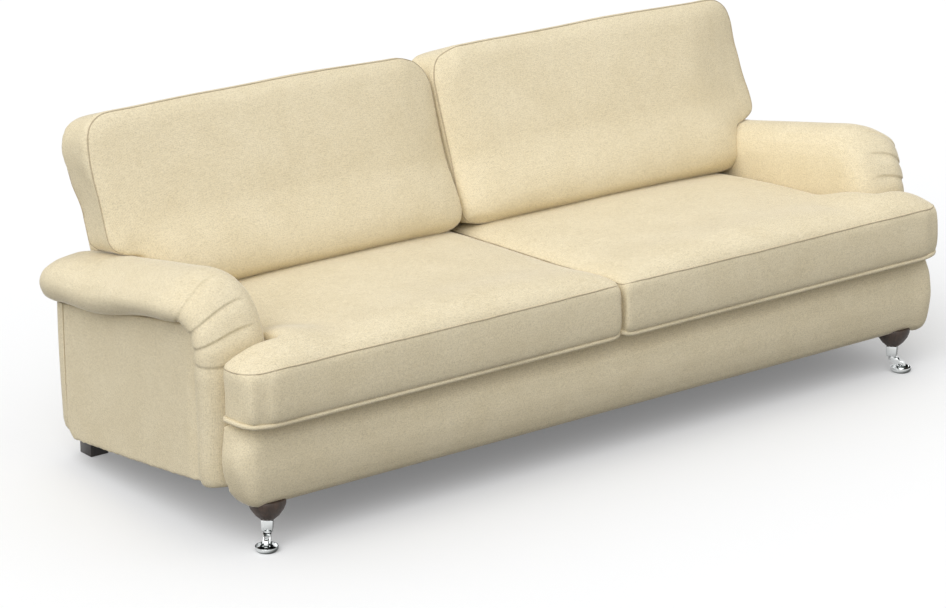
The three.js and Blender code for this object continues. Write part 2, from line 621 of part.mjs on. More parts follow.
// Back cushions: stand on the seat cushions, lean on the inside back, widen over the arms
const backHeightShares = [0, 0.02, 0.06, 0.12, 0.17, 0.21, 0.25, 0.29, 0.34, 0.42, 0.54, 0.66, 0.78, 0.86, 0.91, 0.95,
    0.975, 0.992, 1];
const backFootRound = cornerRadius * 0.4;
const [earStart, earFull] = [backEarHeight - cornerRadius * 0.9, backEarHeight + cornerRadius * 0.4];
const splitCornerShare = 0.6;
const tiltFull = 0.5;           // above this share of the height the boxing stands square to the lean
const backCrownPower = 0.6;
const crownEdge = 0.015;
const backWidthAt = (z) => {
    const overArm = THREE.MathUtils.smoothstep(z, earStart, earFull);
    const above = THREE.MathUtils.lerp(backEarHalf, backTopHalf,
        Math.min(1, Math.max(0, (z - backEarHeight) / (backCushionTop - backEarHeight))));
    return THREE.MathUtils.lerp(backFootHalf, above, overArm);
};
const backCushion = () => {
    const rings = [];
    const tall = backCushionTop - backCushionBottom;
    for (const share of backHeightShares) {
        const z = backCushionBottom + tall * share;
        const inCorner = Math.max(0, cornerRadius - (backCushionTop - z));
        const low = Math.max(0, backFootRound - (z - backCushionBottom));
        const corner = cornerRadius - Math.sqrt(cornerRadius ** 2 - inCorner ** 2)
            + low * backFootRound / cornerRadius;
        const right = backWidthAt(z) - corner;
        const left = softGap / 2 + corner * splitCornerShare;
        const rise = backCushionCrown * Math.sqrt(Math.sin(Math.PI * THREE.MathUtils.clamp(share, crownEdge, 1 - crownEdge)));
        const thick = backCushionThickness / Math.cos(backLean * Math.PI / 180);
        const tilt = backCushionThickness * Math.sin(backLean * Math.PI / 180)
            * THREE.MathUtils.smoothstep(share, 0, tiltFull);
        const ring = pillowRing(0, left, right, right, 0, 1, 0).map((p) => {
            const across = (p.x - left) / (right - left);
            const out = rise * Math.pow(Math.sin(Math.PI * THREE.MathUtils.clamp(across, 0, 1)), backCrownPower);
            const ahead = THREE.MathUtils.clamp(p.z, 0, 1);
            const height = z - tilt * (1 - ahead);
            const depth = thick * ahead + (p.z >= 1 ? out : 0);
            return new THREE.Vector3(p.x, backFaceAt(height) - softGap - depth, height);
        });
        rings.push(ring);
    }
    return loft(rings);
};
placePair('back_cushion', cut(backCushion(), armSweep(softGap * 2)), cloth);

// Front legs: a turned bun that narrows to the castor, with its stud
const bunShares = [[0, 0], [0.95, 0], [1, 0.12], [0.99, 0.3], [0.88, 0.52], [0.66, 0.76], [0.46, 0.92]];
const legTop = borderBottom - gap;
const legProfile = [new THREE.Vector2(0, legTop + studLength), new THREE.Vector2(studRadius, legTop + studLength),
    new THREE.Vector2(studRadius, legTop), ...bunShares.slice(1).map(([r, h]) =>
        new THREE.Vector2(bunRadius * r, legTop - bunHeight * h)),
    new THREE.Vector2(bunFoot, legTop - bunHeight), new THREE.Vector2(0, legTop - bunHeight)];
const turned = (profile, steps) => {
    const g = new THREE.LatheGeometry(profile, steps).rotateX(Math.PI / 2);
    return toSolid(g).volume() < 0 ? flipped(merged(g)) : g;
};
placePair('front_leg', turned(legProfile, 32).translate(legX, legY, 0), walnut);

// Castor: square socket with its pin, fork on the pin, wheel on an axle, standing in a cup
const legFootHeight = legTop - bunHeight;
const pinRadius = 4;
const runGap = 0.1;            // clearance of a pin that turns in its hole
const socket = () => {
    const rings = [[socketTop, legFootHeight - gap], [socketFoot, castorHeight]].map(([side, z]) =>
        [[-1, -1], [1, -1], [1, 1], [-1, 1]].map(([a, b]) => new THREE.Vector3(a * side / 2, b * side / 2, z)));
    return loft(rings);
};
const crownHeight = cupFloor + wheelRadius * 2 + gap * 3;
const crownThickness = castorHeight - gap - crownHeight;
const castorGroup = (side, turn) => {
    const group = new THREE.Group();
    group.position.set(side * legX, legY, 0);
    group.rotation.z = turn * Math.PI / 180;
    sofa.add(group);
    const name = side > 0 ? 'right' : 'left';
    const pin = new THREE.CylinderGeometry(pinRadius, pinRadius, crownThickness, 20).rotateX(Math.PI / 2)
        .translate(0, 0, castorHeight - crownThickness / 2);
    place(`castor_socket_${name}`, join(socket(), pin), chrome, group);
    const axleHeight = cupFloor + gap + wheelRadius;
    const inner = wheelWidth / 2 + gap * 2;
    const crown = new THREE.CylinderGeometry(inner + forkWall, inner + forkWall, crownThickness, 28)
        .rotateX(Math.PI / 2).translate(0, 0, crownHeight + crownThickness / 2);
    const bridge = block(0, castorTrail * 0.6, -inner - forkWall, inner + forkWall, crownHeight, crownHeight + crownThickness * 0.6);
    const cheek = (a) => {
        const outline = [[castorTrail - wheelRadius * 0.45, axleHeight - wheelRadius * 0.4],
            [castorTrail + wheelRadius * 0.4, axleHeight - wheelRadius * 0.4],
            [castorTrail + wheelRadius * 0.45, axleHeight + wheelRadius * 0.3],
            [castorTrail * 0.6, crownHeight + crownThickness * 0.6], [0, crownHeight + crownThickness * 0.6],
            [0, crownHeight - forkWall]];
        const g = new THREE.ExtrudeGeometry(shapeOf(outline), { depth: forkWall, bevelEnabled: false });
        return g.rotateX(Math.PI / 2).translate(0, a > 0 ? inner + forkWall : -inner, 0);
    };
    const pinBore = new THREE.CylinderGeometry(pinRadius + runGap, pinRadius + runGap, crownThickness * 3, 20)
        .rotateX(Math.PI / 2).translate(0, 0, crownHeight + crownThickness / 2);
    const axleBore = new THREE.CylinderGeometry(axleRadius + gap, axleRadius + gap, inner * 4, 16)
        .translate(castorTrail, 0, axleHeight);
    place(`castor_fork_${name}`, cut(join(crown, bridge, cheek(1), cheek(-1)), pinBore, axleBore), chrome, group);
    place(`castor_axle_${name}`, new THREE.CylinderGeometry(axleRadius, axleRadius, (inner + forkWall) * 2, 16)
        .translate(castorTrail, 0, axleHeight), chrome, group);
    const wheelShares = [[0.84, -1], [0.97, -0.8], [1, -0.4], [1, 0.4], [0.97, 0.8], [0.84, 1]];
    const bore = axleRadius + runGap;
    const wheelProfile = [new THREE.Vector2(bore, -wheelWidth / 2),
        ...wheelShares.map(([r, h]) => new THREE.Vector2(wheelRadius * r, h * wheelWidth / 2)),
        new THREE.Vector2(bore, wheelWidth / 2), new THREE.Vector2(bore, -wheelWidth / 2)];
    const wheel = new THREE.LatheGeometry(wheelProfile, 36);
    place(`castor_wheel_${name}`, (toSolid(wheel).volume() < 0 ? flipped(merged(wheel)) : wheel)
        .translate(castorTrail, 0, axleHeight), chrome, group);
    const cupShares = [[0, 0], [0.86, 0], [1, 0.45], [1, 1], [0.93, 1], [0.92, 0.5]];
    const cupProfile = [...cupShares.map(([r, h]) => new THREE.Vector2(cupRadius * r, cupHeight * h)),
        new THREE.Vector2(cupRadius * 0.82, cupFloor), new THREE.Vector2(0, cupFloor)];
    place(`castor_cup_${name}`, turned(cupProfile, 40).translate(castorTrail, 0, 0), chrome, group);
};
const rightTurn = -55;         // which way each castor happens to point, in degrees
const leftTurn = -131;
castorGroup(1, rightTurn);
castorGroup(-1, leftTurn);

// Back feet: square blocks cut to the slope of the base
const footX = rearWidest - footInset - footSide / 2;
const footFront = footRear - footSide;
const footTop = (y) => baseAt(y) - dustThickness - gap * 4;
placePair('rear_foot', alongX([[footFront, 0], [footRear, 0], [footRear, footTop(footRear)],
    [footFront, footTop(footFront)]], footX - footSide / 2, footX + footSide / 2), darkWood);

sofa.position.y = (seatLip - overallRear) / 2;
export default sofa;
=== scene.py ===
import math

import bmesh
import bpy
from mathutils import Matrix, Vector, bvhtree, noise


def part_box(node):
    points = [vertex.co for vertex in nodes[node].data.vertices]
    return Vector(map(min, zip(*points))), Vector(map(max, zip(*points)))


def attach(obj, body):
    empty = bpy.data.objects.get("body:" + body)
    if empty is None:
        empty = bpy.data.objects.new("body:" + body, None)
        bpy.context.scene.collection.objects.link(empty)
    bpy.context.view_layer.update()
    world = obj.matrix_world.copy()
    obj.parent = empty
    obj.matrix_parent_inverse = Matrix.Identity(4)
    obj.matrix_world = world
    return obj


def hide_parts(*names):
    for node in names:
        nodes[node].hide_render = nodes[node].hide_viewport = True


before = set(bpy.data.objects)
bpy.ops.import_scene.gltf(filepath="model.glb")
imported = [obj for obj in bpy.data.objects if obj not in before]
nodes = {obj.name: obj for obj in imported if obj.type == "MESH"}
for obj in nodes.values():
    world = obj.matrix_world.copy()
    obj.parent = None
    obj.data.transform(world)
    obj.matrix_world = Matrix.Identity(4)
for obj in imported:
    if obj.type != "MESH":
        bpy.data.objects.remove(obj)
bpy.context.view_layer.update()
sides = {"Left": -1, "Right": 1}

# Camera at the photograph's place, in the sofa's own frame
cameraView = {
    "place": Vector((-5.0727, -6.3959, 2.9544)),
    "look": Vector((0.5845, 0.7492, -0.3117)),
    "lens": 130.27,
    "sensor": 36,
    "farEnd": 60,
}


def addCamera(view):
    bpy.ops.object.camera_add(location=view["place"])
    camera = bpy.context.object
    camera.rotation_mode = "QUATERNION"
    camera.rotation_quaternion = view["look"].to_track_quat("-Z", "Y")
    camera.data.lens = view["lens"]
    camera.data.sensor_width = view["sensor"]
    camera.data.clip_end = view["farEnd"]
    bpy.context.scene.camera = camera


addCamera(cameraView)
print("camera set")


# Materials

def newMaterial(name):
    material = bpy.data.materials.new(name)
    material.use_nodes = True
    tree = material.node_tree
    shader = tree.nodes["Principled BSDF"]
    return material, tree, shader


def addNode(tree, kind, settings=None, **inputs):
    node = tree.nodes.new(kind)
    for key, value in (settings or {}).items():
        setattr(node, key, value)
    for key, value in inputs.items():
        socket = node.inputs[int(key[1:])] if key[0] == "i" and key[1:].isdigit() else node.inputs[key]
        if isinstance(value, bpy.types.NodeSocket):
            tree.links.new(value, socket)
        else:
            socket.default_value = value
    return node


def maths(tree, operation, a, b=0.5, c=0.5):
    return addNode(tree, "ShaderNodeMath", {"operation": operation}, i0=a, i1=b, i2=c).outputs[0]


def rampOf(tree, fac, stops):
    ramp = addNode(tree, "ShaderNodeValToRGB", i0=fac)
    elements = ramp.color_ramp.elements
    while len(elements) < len(stops):
        elements.new(0.5)
    for element, (place, colour) in zip(elements, stops):
        element.position = place
        element.color = (*colour, 1)
    return ramp.outputs[0]


mixSockets = {"share": 0, "first": 6, "second": 7, "result": 2}     # those of a mix of two colours


def mixColour(tree, fac, a, b, blend="MIX"):
    node = tree.nodes.new("ShaderNodeMix")
    node.data_type = "RGBA"
    node.blend_type = blend
    for key, value in (("share", fac), ("first", a), ("second", b)):
        socket = node.inputs[mixSockets[key]]
        if isinstance(value, bpy.types.NodeSocket):
            tree.links.new(value, socket)
        else:
            socket.default_value = value if socket.type == "VALUE" else (*value, 1)
    return node.outputs[mixSockets["result"]]


weave = {
    "pale": (0.86, 0.765, 0.555),
    "deep": (0.765, 0.665, 0.455),
    "thread": 0.0021,        # distance from one thread to the next
    "grain": 1.6,            # size of the finest grain, in threads
    "slubSize": 0.006,
    "slubStretch": (0.4, 0.4, 2.2),
    "mottleSize": 0.11,
    "mottleShare": 0.35,
    "mottleRough": 0.6,
    "slubRough": 0.7,
    "deepAt": 0.34,
    "paleAt": 0.62,
    "gap": (0.58, 0.56, 0.53),
    "gapAt": 0.28,
    "threadAt": 0.50,
    "slubRelief": 0.15,
    "bump": 0.35,
    "height": 0.0007,
    "roughness": 0.92,
    "specular": 0.2,
    "sheen": 0.7,
    "sheenRoughness": 0.25,
    "sheenTint": (1, 0.96, 0.88, 1),
}
threadWobble = {"size": 6, "shift": 0.9}         # in threads
threadLevel = {"swing": 0.25, "middle": 0.5}


def weaveHeight(tree, pitch):
    """threads along two axes of whichever face is met"""
    coords = addNode(tree, "ShaderNodeTexCoord")
    wobble = addNode(tree, "ShaderNodeTexNoise", Vector=coords.outputs["Object"],
                     Scale=1 / (pitch * threadWobble["size"]), Detail=2.0)
    shift = addNode(tree, "ShaderNodeVectorMath", {"operation": "SCALE"},
                    i0=wobble.outputs["Color"], Scale=pitch * threadWobble["shift"])
    place = addNode(tree, "ShaderNodeVectorMath", {"operation": "ADD"},
                    i0=coords.outputs["Object"], i1=shift.outputs[0]).outputs[0]
    axes = addNode(tree, "ShaderNodeSeparateXYZ", i0=place)
    facing = addNode(tree, "ShaderNodeSeparateXYZ", i0=coords.outputs["Normal"])
    total = None
    for axis in range(3):
        phase = maths(tree, "MULTIPLY", axes.outputs[axis], 2 * math.pi / pitch)
        thread = maths(tree, "SINE", phase)
        along = maths(tree, "POWER", maths(tree, "ABSOLUTE", facing.outputs[axis]), 2.0)
        across = maths(tree, "SUBTRACT", 1.0, along)
        part = maths(tree, "MULTIPLY", thread, across)
        total = part if total is None else maths(tree, "ADD", total, part)
    return coords, maths(tree, "MULTIPLY_ADD", total, threadLevel["swing"], threadLevel["middle"])


def clothMaterial(name, look):
    material, tree, shader = newMaterial(name)
    coords, threads = weaveHeight(tree, look["thread"])
    place = coords.outputs["Object"]
    mottles = addNode(tree, "ShaderNodeTexNoise", Vector=place,
                      Scale=1 / look["mottleSize"], Detail=3.0, Roughness=look["mottleRough"])
    stretched = addNode(tree, "ShaderNodeMapping", i0=place, Scale=look["slubStretch"])
    slubs = addNode(tree, "ShaderNodeTexNoise", Vector=stretched.outputs[0],
                    Scale=1 / look["slubSize"], Detail=4.0, Roughness=look["slubRough"])
    grains = addNode(tree, "ShaderNodeTexNoise", Vector=place,
                     Scale=1 / (look["thread"] * look["grain"]), Detail=2.0)
    tone = maths(tree, "MULTIPLY_ADD", mottles.outputs["Fac"], look["mottleShare"],
                 maths(tree, "MULTIPLY", slubs.outputs["Fac"], 1 - look["mottleShare"]))
    ground = rampOf(tree, tone, ((look["deepAt"], look["deep"]), (look["paleAt"], look["pale"])))
    speckle = maths(tree, "MULTIPLY_ADD", threads, 0.5, maths(tree, "MULTIPLY", grains.outputs["Fac"], 0.5))
    shadeOf = rampOf(tree, speckle, ((look["gapAt"], look["gap"]), (look["threadAt"], (1, 1, 1))))
    tree.links.new(mixColour(tree, 1.0, ground, shadeOf, "MULTIPLY"), shader.inputs["Base Color"])
    relief = maths(tree, "MULTIPLY_ADD", slubs.outputs["Fac"], look["slubRelief"], speckle)
    bump = addNode(tree, "ShaderNodeBump", Strength=look["bump"], Distance=look["height"], Height=relief)
    tree.links.new(bump.outputs[0], shader.inputs["Normal"])
    shader.inputs["Roughness"].default_value = look["roughness"]
    shader.inputs["Specular IOR Level"].default_value = look["specular"]
    shader.inputs["Sheen Weight"].default_value = look["sheen"]
    shader.inputs["Sheen Roughness"].default_value = look["sheenRoughness"]
    shader.inputs["Sheen Tint"].default_value = look["sheenTint"]
    return material


grain = {
    "across": 14.0,
    "along": 1.6,
    "rings": 3.2,
    "ringDetail": 6.0,
    "ringSwirl": 1.2,
    "ringShare": 0.7,
    "pores": 26.0,
    "poreShare": 0.35,
    "darkAt": 0.36,
    "lightAt": 0.66,
    "roughLow": -0.06,       # about the wood's own roughness
    "roughHigh": 0.08,
    "bump": 0.12,
    "height": 0.0006,
    "coatRoughness": 0.18,
}


def woodMaterial(name, look, grainAxis):
    material, tree, shader = newMaterial(name)
    coords = addNode(tree, "ShaderNodeTexCoord")
    squeeze = [grain["across"]] * 3
    squeeze[grainAxis] = grain["along"]
    mapping = addNode(tree, "ShaderNodeMapping", i0=coords.outputs["Object"], Scale=squeeze)
    rings = addNode(tree, "ShaderNodeTexNoise", Vector=mapping.outputs[0],
                    Scale=grain["rings"], Detail=grain["ringDetail"], Distortion=grain["ringSwirl"])
    pores = addNode(tree, "ShaderNodeTexNoise", Vector=mapping.outputs[0], Scale=grain["pores"], Detail=3.0)
    tone = maths(tree, "MULTIPLY_ADD", pores.outputs["Fac"], grain["poreShare"],
                 maths(tree, "MULTIPLY", rings.outputs["Fac"], grain["ringShare"]))
    colour = rampOf(tree, tone, ((grain["darkAt"], look["dark"]), (grain["lightAt"], look["light"])))
    tree.links.new(colour, shader.inputs["Base Color"])
    rough = addNode(tree, "ShaderNodeMapRange", i0=pores.outputs["Fac"],
                    i3=look["roughness"] + grain["roughLow"], i4=look["roughness"] + grain["roughHigh"])
    tree.links.new(rough.outputs[0], shader.inputs["Roughness"])
    bump = addNode(tree, "ShaderNodeBump", Strength=grain["bump"], Distance=grain["height"], Height=tone)
    tree.links.new(bump.outputs[0], shader.inputs["Normal"])
    shader.inputs["Coat Weight"].default_value = look["coat"]
    shader.inputs["Coat Roughness"].default_value = grain["coatRoughness"]
    return material


chrome = {
    "haze": 140.0,
    "smooth": 0.04,
    "rough": 0.13,
    "upShare": 0.34,
    "sideShare": -0.22,
    "level": 0.42,
    "tones": ((0.14, (0.03, 0.033, 0.03)), (0.36, (0.12, 0.13, 0.125)), (0.56, (0.74, 0.76, 0.76))),
}


def chromeMaterial(name):
    """polished metal whose colour is painted darker where it faces down and away: a painted reflection of a
    dark room there
    """
    material, tree, shader = newMaterial(name)
    coords = addNode(tree, "ShaderNodeTexCoord")
    haze = addNode(tree, "ShaderNodeTexNoise", Vector=coords.outputs["Object"],
                   Scale=chrome["haze"], Detail=3.0)
    rough = addNode(tree, "ShaderNodeMapRange", i0=haze.outputs["Fac"],
                    i3=chrome["smooth"], i4=chrome["rough"])
    tree.links.new(rough.outputs[0], shader.inputs["Roughness"])
    # painted reflection: the base colour is darker where a face points down or towards +x, and lighter where
    # it points up
    facing = addNode(tree, "ShaderNodeSeparateXYZ", i0=coords.outputs["Normal"])
    aside = maths(tree, "MULTIPLY_ADD", facing.outputs[0], chrome["sideShare"], chrome["level"])
    lean = maths(tree, "MULTIPLY_ADD", facing.outputs[2], chrome["upShare"], aside)
    tree.links.new(rampOf(tree, lean, chrome["tones"]), shader.inputs["Base Color"])
    shader.inputs["Metallic"].default_value = 1.0
    return material


webLook = {"deepAt": 0.25, "paleAt": 0.7, "bump": 0.5, "height": 0.0008, "roughness": 0.9}


def webMaterial(name, look):
    material, tree, shader = newMaterial(name)
    coords, threads = weaveHeight(tree, look["thread"])
    colour = rampOf(tree, threads, ((webLook["deepAt"], look["deep"]), (webLook["paleAt"], look["pale"])))
    tree.links.new(colour, shader.inputs["Base Color"])
    bump = addNode(tree, "ShaderNodeBump", Strength=webLook["bump"],
                   Distance=webLook["height"], Height=threads)
    tree.links.new(bump.outputs[0], shader.inputs["Normal"])
    shader.inputs["Roughness"].default_value = webLook["roughness"]
    return material


# the cord's cloth is painted darker than the cover: painted shade standing for the thin dark line beside each
# seam
cord = {**weave, "thread": 0.0016, "pale": (0.60, 0.51, 0.36), "deep": (0.48, 0.40, 0.27)}
walnut = {"dark": (0.018, 0.010, 0.006), "light": (0.060, 0.034, 0.022), "roughness": 0.5, "coat": 0.05}
blackWood = {"dark": (0.012, 0.009, 0.008), "light": (0.035, 0.026, 0.021), "roughness": 0.4, "coat": 0.3}
beech = {"dark": (0.42, 0.27, 0.15), "light": (0.66, 0.48, 0.30), "roughness": 0.6, "coat": 0.0}
jute = {"thread": 0.003, "deep": (0.22, 0.15, 0.08), "pale": (0.55, 0.42, 0.26)}
liningCloth = {"thread": 0.0012, "deep": (0.008, 0.008, 0.008), "pale": (0.03, 0.03, 0.03)}
creamCloth = clothMaterial("creamCloth", weave)
welting = clothMaterial("weltingCloth", {**weave, "thread": 0.0016, "slubSize": 0.008})
seamCordPaintedShade = clothMaterial("seamCordPaintedShade", cord)
legWalnut = woodMaterial("legWalnut", walnut, 2)
footWood = woodMaterial("footWood", blackWood, 2)
beechWood = woodMaterial("beechWood", beech, 0)
polishedChrome = chromeMaterial("polishedChrome")
juteWeb = webMaterial("juteWeb", jute)
blackLining = webMaterial("blackLining", liningCloth)
print("materials made")


# Shared making steps

def onlySelect(piece):
    bpy.ops.object.select_all(action="DESELECT")
    piece.select_set(True)
    bpy.context.view_layer.objects.active = piece


def applyModifier(piece, kind, **settings):
    onlySelect(piece)
    modifier = piece.modifiers.new(kind.lower(), kind)
    for key, value in settings.items():
        setattr(modifier, key, value)
    bpy.ops.object.modifier_apply(modifier=modifier.name)


weldDistance = 0.00001
roundAngle = 180                                 # no edge stays sharp
edgeAngle = 40


def copyOf(node, name):
    """the node's own solid as a new piece, its loose faces joined"""
    mesh = nodes[node].data.copy()
    mesh.name = name
    piece = bpy.data.objects.new(name, mesh)
    bpy.context.scene.collection.objects.link(piece)
    onlySelect(piece)
    bpy.ops.object.mode_set(mode="EDIT")
    bpy.ops.mesh.select_all(action="SELECT")
    bpy.ops.mesh.remove_doubles(threshold=weldDistance)
    bpy.ops.object.mode_set(mode="OBJECT")
    return piece


def finishPiece(piece, body, material, angle=roundAngle, replaced=()):
    onlySelect(piece)
    piece.data.materials.clear()
    piece.data.materials.append(material)
    if angle >= roundAngle:
        bpy.ops.object.shade_smooth()
    else:
        bpy.ops.object.shade_smooth_by_angle(angle=math.radians(angle))
    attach(piece, body)
    if replaced:
        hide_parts(*replaced)
    return piece


def smoothBy(piece, rounds, factor=0.5):
    applyModifier(piece, "SMOOTH", factor=factor, iterations=rounds)


def shapeBy(piece, moveOf):
    """moves each point along its normal by moveOf(place, normal)"""
    mesh = piece.data
    normals = [v.normal.copy() for v in mesh.vertices]
    for vertex, normal in zip(mesh.vertices, normals):
        amount = moveOf(vertex.co, normal)
        if amount:
            vertex.co += normal * amount


sewnIn = 0.007                                   # the sewn edge lies behind the boxing's swell
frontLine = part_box("seat_cushion_left")[0].y + sewnIn


def smoothStep(value, low, high):
    share = min(1, max(0, (value - low) / (high - low)))
    return share * share * (3 - 2 * share)


def easeBy(piece, eases, side=1):
    """pushes soft areas of the piece; places count from the middle, the cushions' front edge and the floor"""
    for vertex in piece.data.vertices:
        place = vertex.co.copy()
        for ease in eases:
            middle, reach, push = ease
            off = Vector((
                (place.x * side - middle[0]) / reach[0],
                (place.y - frontLine - middle[1]) / reach[1],
                (place.z - middle[2]) / reach[2],
            )).length
            if off < 1:
                share = (1 - off * off) ** 2
                vertex.co += Vector((push[0] * side, push[1], push[2])) * share


seedSteps = (3.7, 1.9, 5.3)
underside = {"flat": -0.9, "uneven": -0.4}       # upward share of a face's normal


def unevenBy(piece, depth, size, seed):
    """slow hollows and swells, as stuffing makes, with the underside left flat"""
    offset = Vector([seed * step for step in seedSteps])

    def swellAt(place, normal):
        fade = smoothStep(normal.z, underside["flat"], underside["uneven"])
        return depth * noise.noise(place / size + offset) * fade

    shapeBy(piece, swellAt)


def rimOf(node, direction, share):
    """ordered points round the part of the node that faces the given way"""
    piece = copyOf(node, "rimMesh")
    shape = bmesh.new()
    shape.from_mesh(piece.data)
    way = direction.normalized()
    facing = {f for f in shape.faces if f.normal.dot(way) > share}
    links = {}
    for edge in shape.edges:
        if sum(f in facing for f in edge.link_faces) == 1:
            a, b = edge.verts
            links.setdefault(a.index, []).append(b.index)
            links.setdefault(b.index, []).append(a.index)
    places = {v.index: v.co.copy() for v in shape.verts}
    loops = []
    while links:
        start = next(iter(links))
        loop, here = [start], start
        while True:
            onward = [i for i in links.get(here, []) if i not in loop]
            if not onward:
                break
            here = onward[0]
            loop.append(here)
        for i in loop:
            links.pop(i, None)
        loops.append([places[i] for i in loop])
    shape.free()
    bpy.data.objects.remove(piece)
    return max(loops, key=len)


pathStep = 0.008


def evenPath(points, step=pathStep):
    """the same closed line with points a step apart"""
    line = points + [points[0]]
    made, carry = [], 0.0
    for a, b in zip(line, line[1:]):
        length = (b - a).length
        while carry < length:
            made.append(a.lerp(b, carry / length))
            carry += step
        carry -= length
    return made


def softenPath(points, rounds):
    for _ in range(rounds):
        onward = points[1:] + points[:1]
        points = [(points[i - 1] + points[i] * 2 + onward[i]) / 4 for i in range(len(points))]
    return points


cordRounds = 3


def pipeAlong(points, name, radius, lift, onto):
    """a sewn cord of cloth laid on the surface along the points"""
    tree = bvhtree.BVHTree.FromObject(onto, bpy.context.evaluated_depsgraph_get())
    laid = []
    for point in points:
        place, normal, _, _ = tree.find_nearest(point)
        laid.append(place + normal * lift)
    laid = softenPath(laid, cordRounds)
    curve = bpy.data.curves.new(name, "CURVE")
    curve.dimensions = "3D"
    curve.bevel_depth = radius
    curve.bevel_resolution = 3
    spline = curve.splines.new("POLY")
    spline.points.add(len(laid) - 1)
    for target, place in zip(spline.points, laid):
        target.co = (*place, 1)
    spline.use_cyclic_u = True
    piece = bpy.data.objects.new(name, curve)
    bpy.context.scene.collection.objects.link(piece)
    onlySelect(piece)
    bpy.ops.object.convert(target="MESH")
    return bpy.context.object


filling = {
    "frames": 20,
    "quality": 4,
    "pressure": 4,
    "stretch": 12,
    "bending": 0.8,
    "evenRounds": 12,
}


def swell(piece, cap, weightOf):
    """fills the piece as a cover is filled, each point moving no further than the cap"""
    start = [v.co.copy() for v in piece.data.vertices]
    normals = [v.normal.copy() for v in piece.data.vertices]
    onlySelect(piece)
    modifier = piece.modifiers.new("cloth", "CLOTH")
    settings = modifier.settings
    settings.quality = filling["quality"]
    settings.use_pressure = True
    settings.uniform_pressure_force = filling["pressure"]
    settings.effector_weights.gravity = 0
    settings.tension_stiffness = filling["stretch"]
    settings.compression_stiffness = filling["stretch"]
    settings.bending_stiffness = filling["bending"]
    modifier.collision_settings.use_collision = False
    scene = bpy.context.scene
    for number in range(1, filling["frames"] + 1):
        scene.frame_set(number)
    evaluated = piece.evaluated_get(bpy.context.evaluated_depsgraph_get())
    moved = [v.co.copy() for v in evaluated.data.vertices]
    piece.modifiers.clear()
    scene.frame_set(1)
    travel = []
    for a, b, normal in zip(start, moved, normals):
        travel.append(min(cap, max(0.0, (b - a).dot(normal))) * weightOf(normal))
    near = [[] for _ in travel]
    for edge in piece.data.edges:
        a, b = edge.vertices
        near[a].append(b)
        near[b].append(a)
    for _ in range(filling["evenRounds"]):
        travel = [
            (own + sum(travel[k] for k in ring)) / (1 + len(ring))
            for own, ring in zip(travel, near)
        ]
    for vertex, a, normal, amount in zip(piece.data.vertices, start, normals, travel):
        vertex.co = a + normal * amount


# Seat cushions
seatCushion = {
    "voxel": 0.010,
    "soften": 8,
    "cap": 0.012,
    "sideShare": 0.2,
    "frontShare": 0.5,
    "undersideBelow": -0.5,  # upward share of a normal below which nothing fills
    "pipe": 0.0016,
    "pipeLift": 0.0002,
    "lip": 0.0060,
    "lipLift": 0.0036,
    "lipRise": 0.008,
    "uneven": 0.0025,
    "unevenSize": 0.26,
    "seed": 2,
    "settle": 3,             # smoothing rounds after the filling
    "bulge": 0.009,
    "bandLow": 0.295,        # the sewn front band, from the floor
    "bandHeight": 0.155,
    "bandFacing": (0.5, 0.9),
    "bandPower": 0.9,        # below 1, so that it is fuller low down
    "pathRounds": 4,
    "rimShare": 0.8,
    "eases": [
        ((0.55, 0.68, 0.45), (0.75, 0.20, 0.08), (0, 0, -0.014)),      # under the back cushion
        ((0.95, 0.12, 0.45), (0.19, 0.17, 0.08), (0, 0, 0.038)),       # risen beside the arm
        ((1.08, 0.01, 0.39), (0.05, 0.06, 0.12), (0.006, -0.006, 0)),
        ((0.42, 0.02, 0.45), (0.76, 0.22, 0.12), (0, 0, 0.020)),       # front edge bowed up by the filling
    ],
}


def seatWeight(normal):
    up, front = max(0, normal.z), max(0, -normal.y)
    look = seatCushion
    if normal.z <= look["undersideBelow"]:
        return 0
    return min(1, up + front * look["frontShare"] + look["sideShare"] * abs(normal.x))


def boxingBulge(place, normal):
    """how far the sewn front band stands out between its two seams"""
    look = seatCushion
    share = min(1, max(0, (place.z - look["bandLow"]) / look["bandHeight"]))
    ahead = smoothStep(-normal.y, *look["bandFacing"])
    return look["bulge"] * ahead * math.sin(math.pi * share ** look["bandPower"])


def makeSeatCushion(side):
    look = seatCushion
    label = side.lower()
    piece = copyOf(f"seat_cushion_{label}", f"seatCushion{side}")
    applyModifier(piece, "REMESH", mode="VOXEL", voxel_size=look["voxel"])
    smoothBy(piece, look["soften"])
    swell(piece, look["cap"], seatWeight)
    smoothBy(piece, look["settle"])
    unevenBy(piece, look["uneven"], look["unevenSize"], sides[side] + look["seed"])
    shapeBy(piece, boxingBulge)
    easeBy(piece, look["eases"], sides[side])
    applyModifier(piece, "SUBSURF", levels=1, render_levels=1)
    body = f"seat_{label}"
    node = f"seat_cushion_{label}"
    top = evenPath(rimOf(node, Vector((0, 0, 1)), look["rimShare"]))
    low = evenPath(rimOf(node, Vector((0, 0, -1)), look["rimShare"]))
    low = [point + Vector((0, 0, look["lipRise"])) for point in low]
    top, low = softenPath(top, look["pathRounds"]), softenPath(low, look["pathRounds"])
    topPipe = pipeAlong(top, f"seatTopPiping{side}", look["pipe"], look["pipeLift"], piece)
    lowPipe = pipeAlong(low, f"seatLowerWelt{side}", look["lip"], look["lipLift"], piece)
    finishPiece(piece, body, creamCloth, replaced=[f"seat_cushion_{label}"])
    finishPiece(topPipe, body, seamCordPaintedShade)
    finishPiece(lowPipe, body, welting)


for side in sides:
    makeSeatCushion(side)
print("seat cushions made")


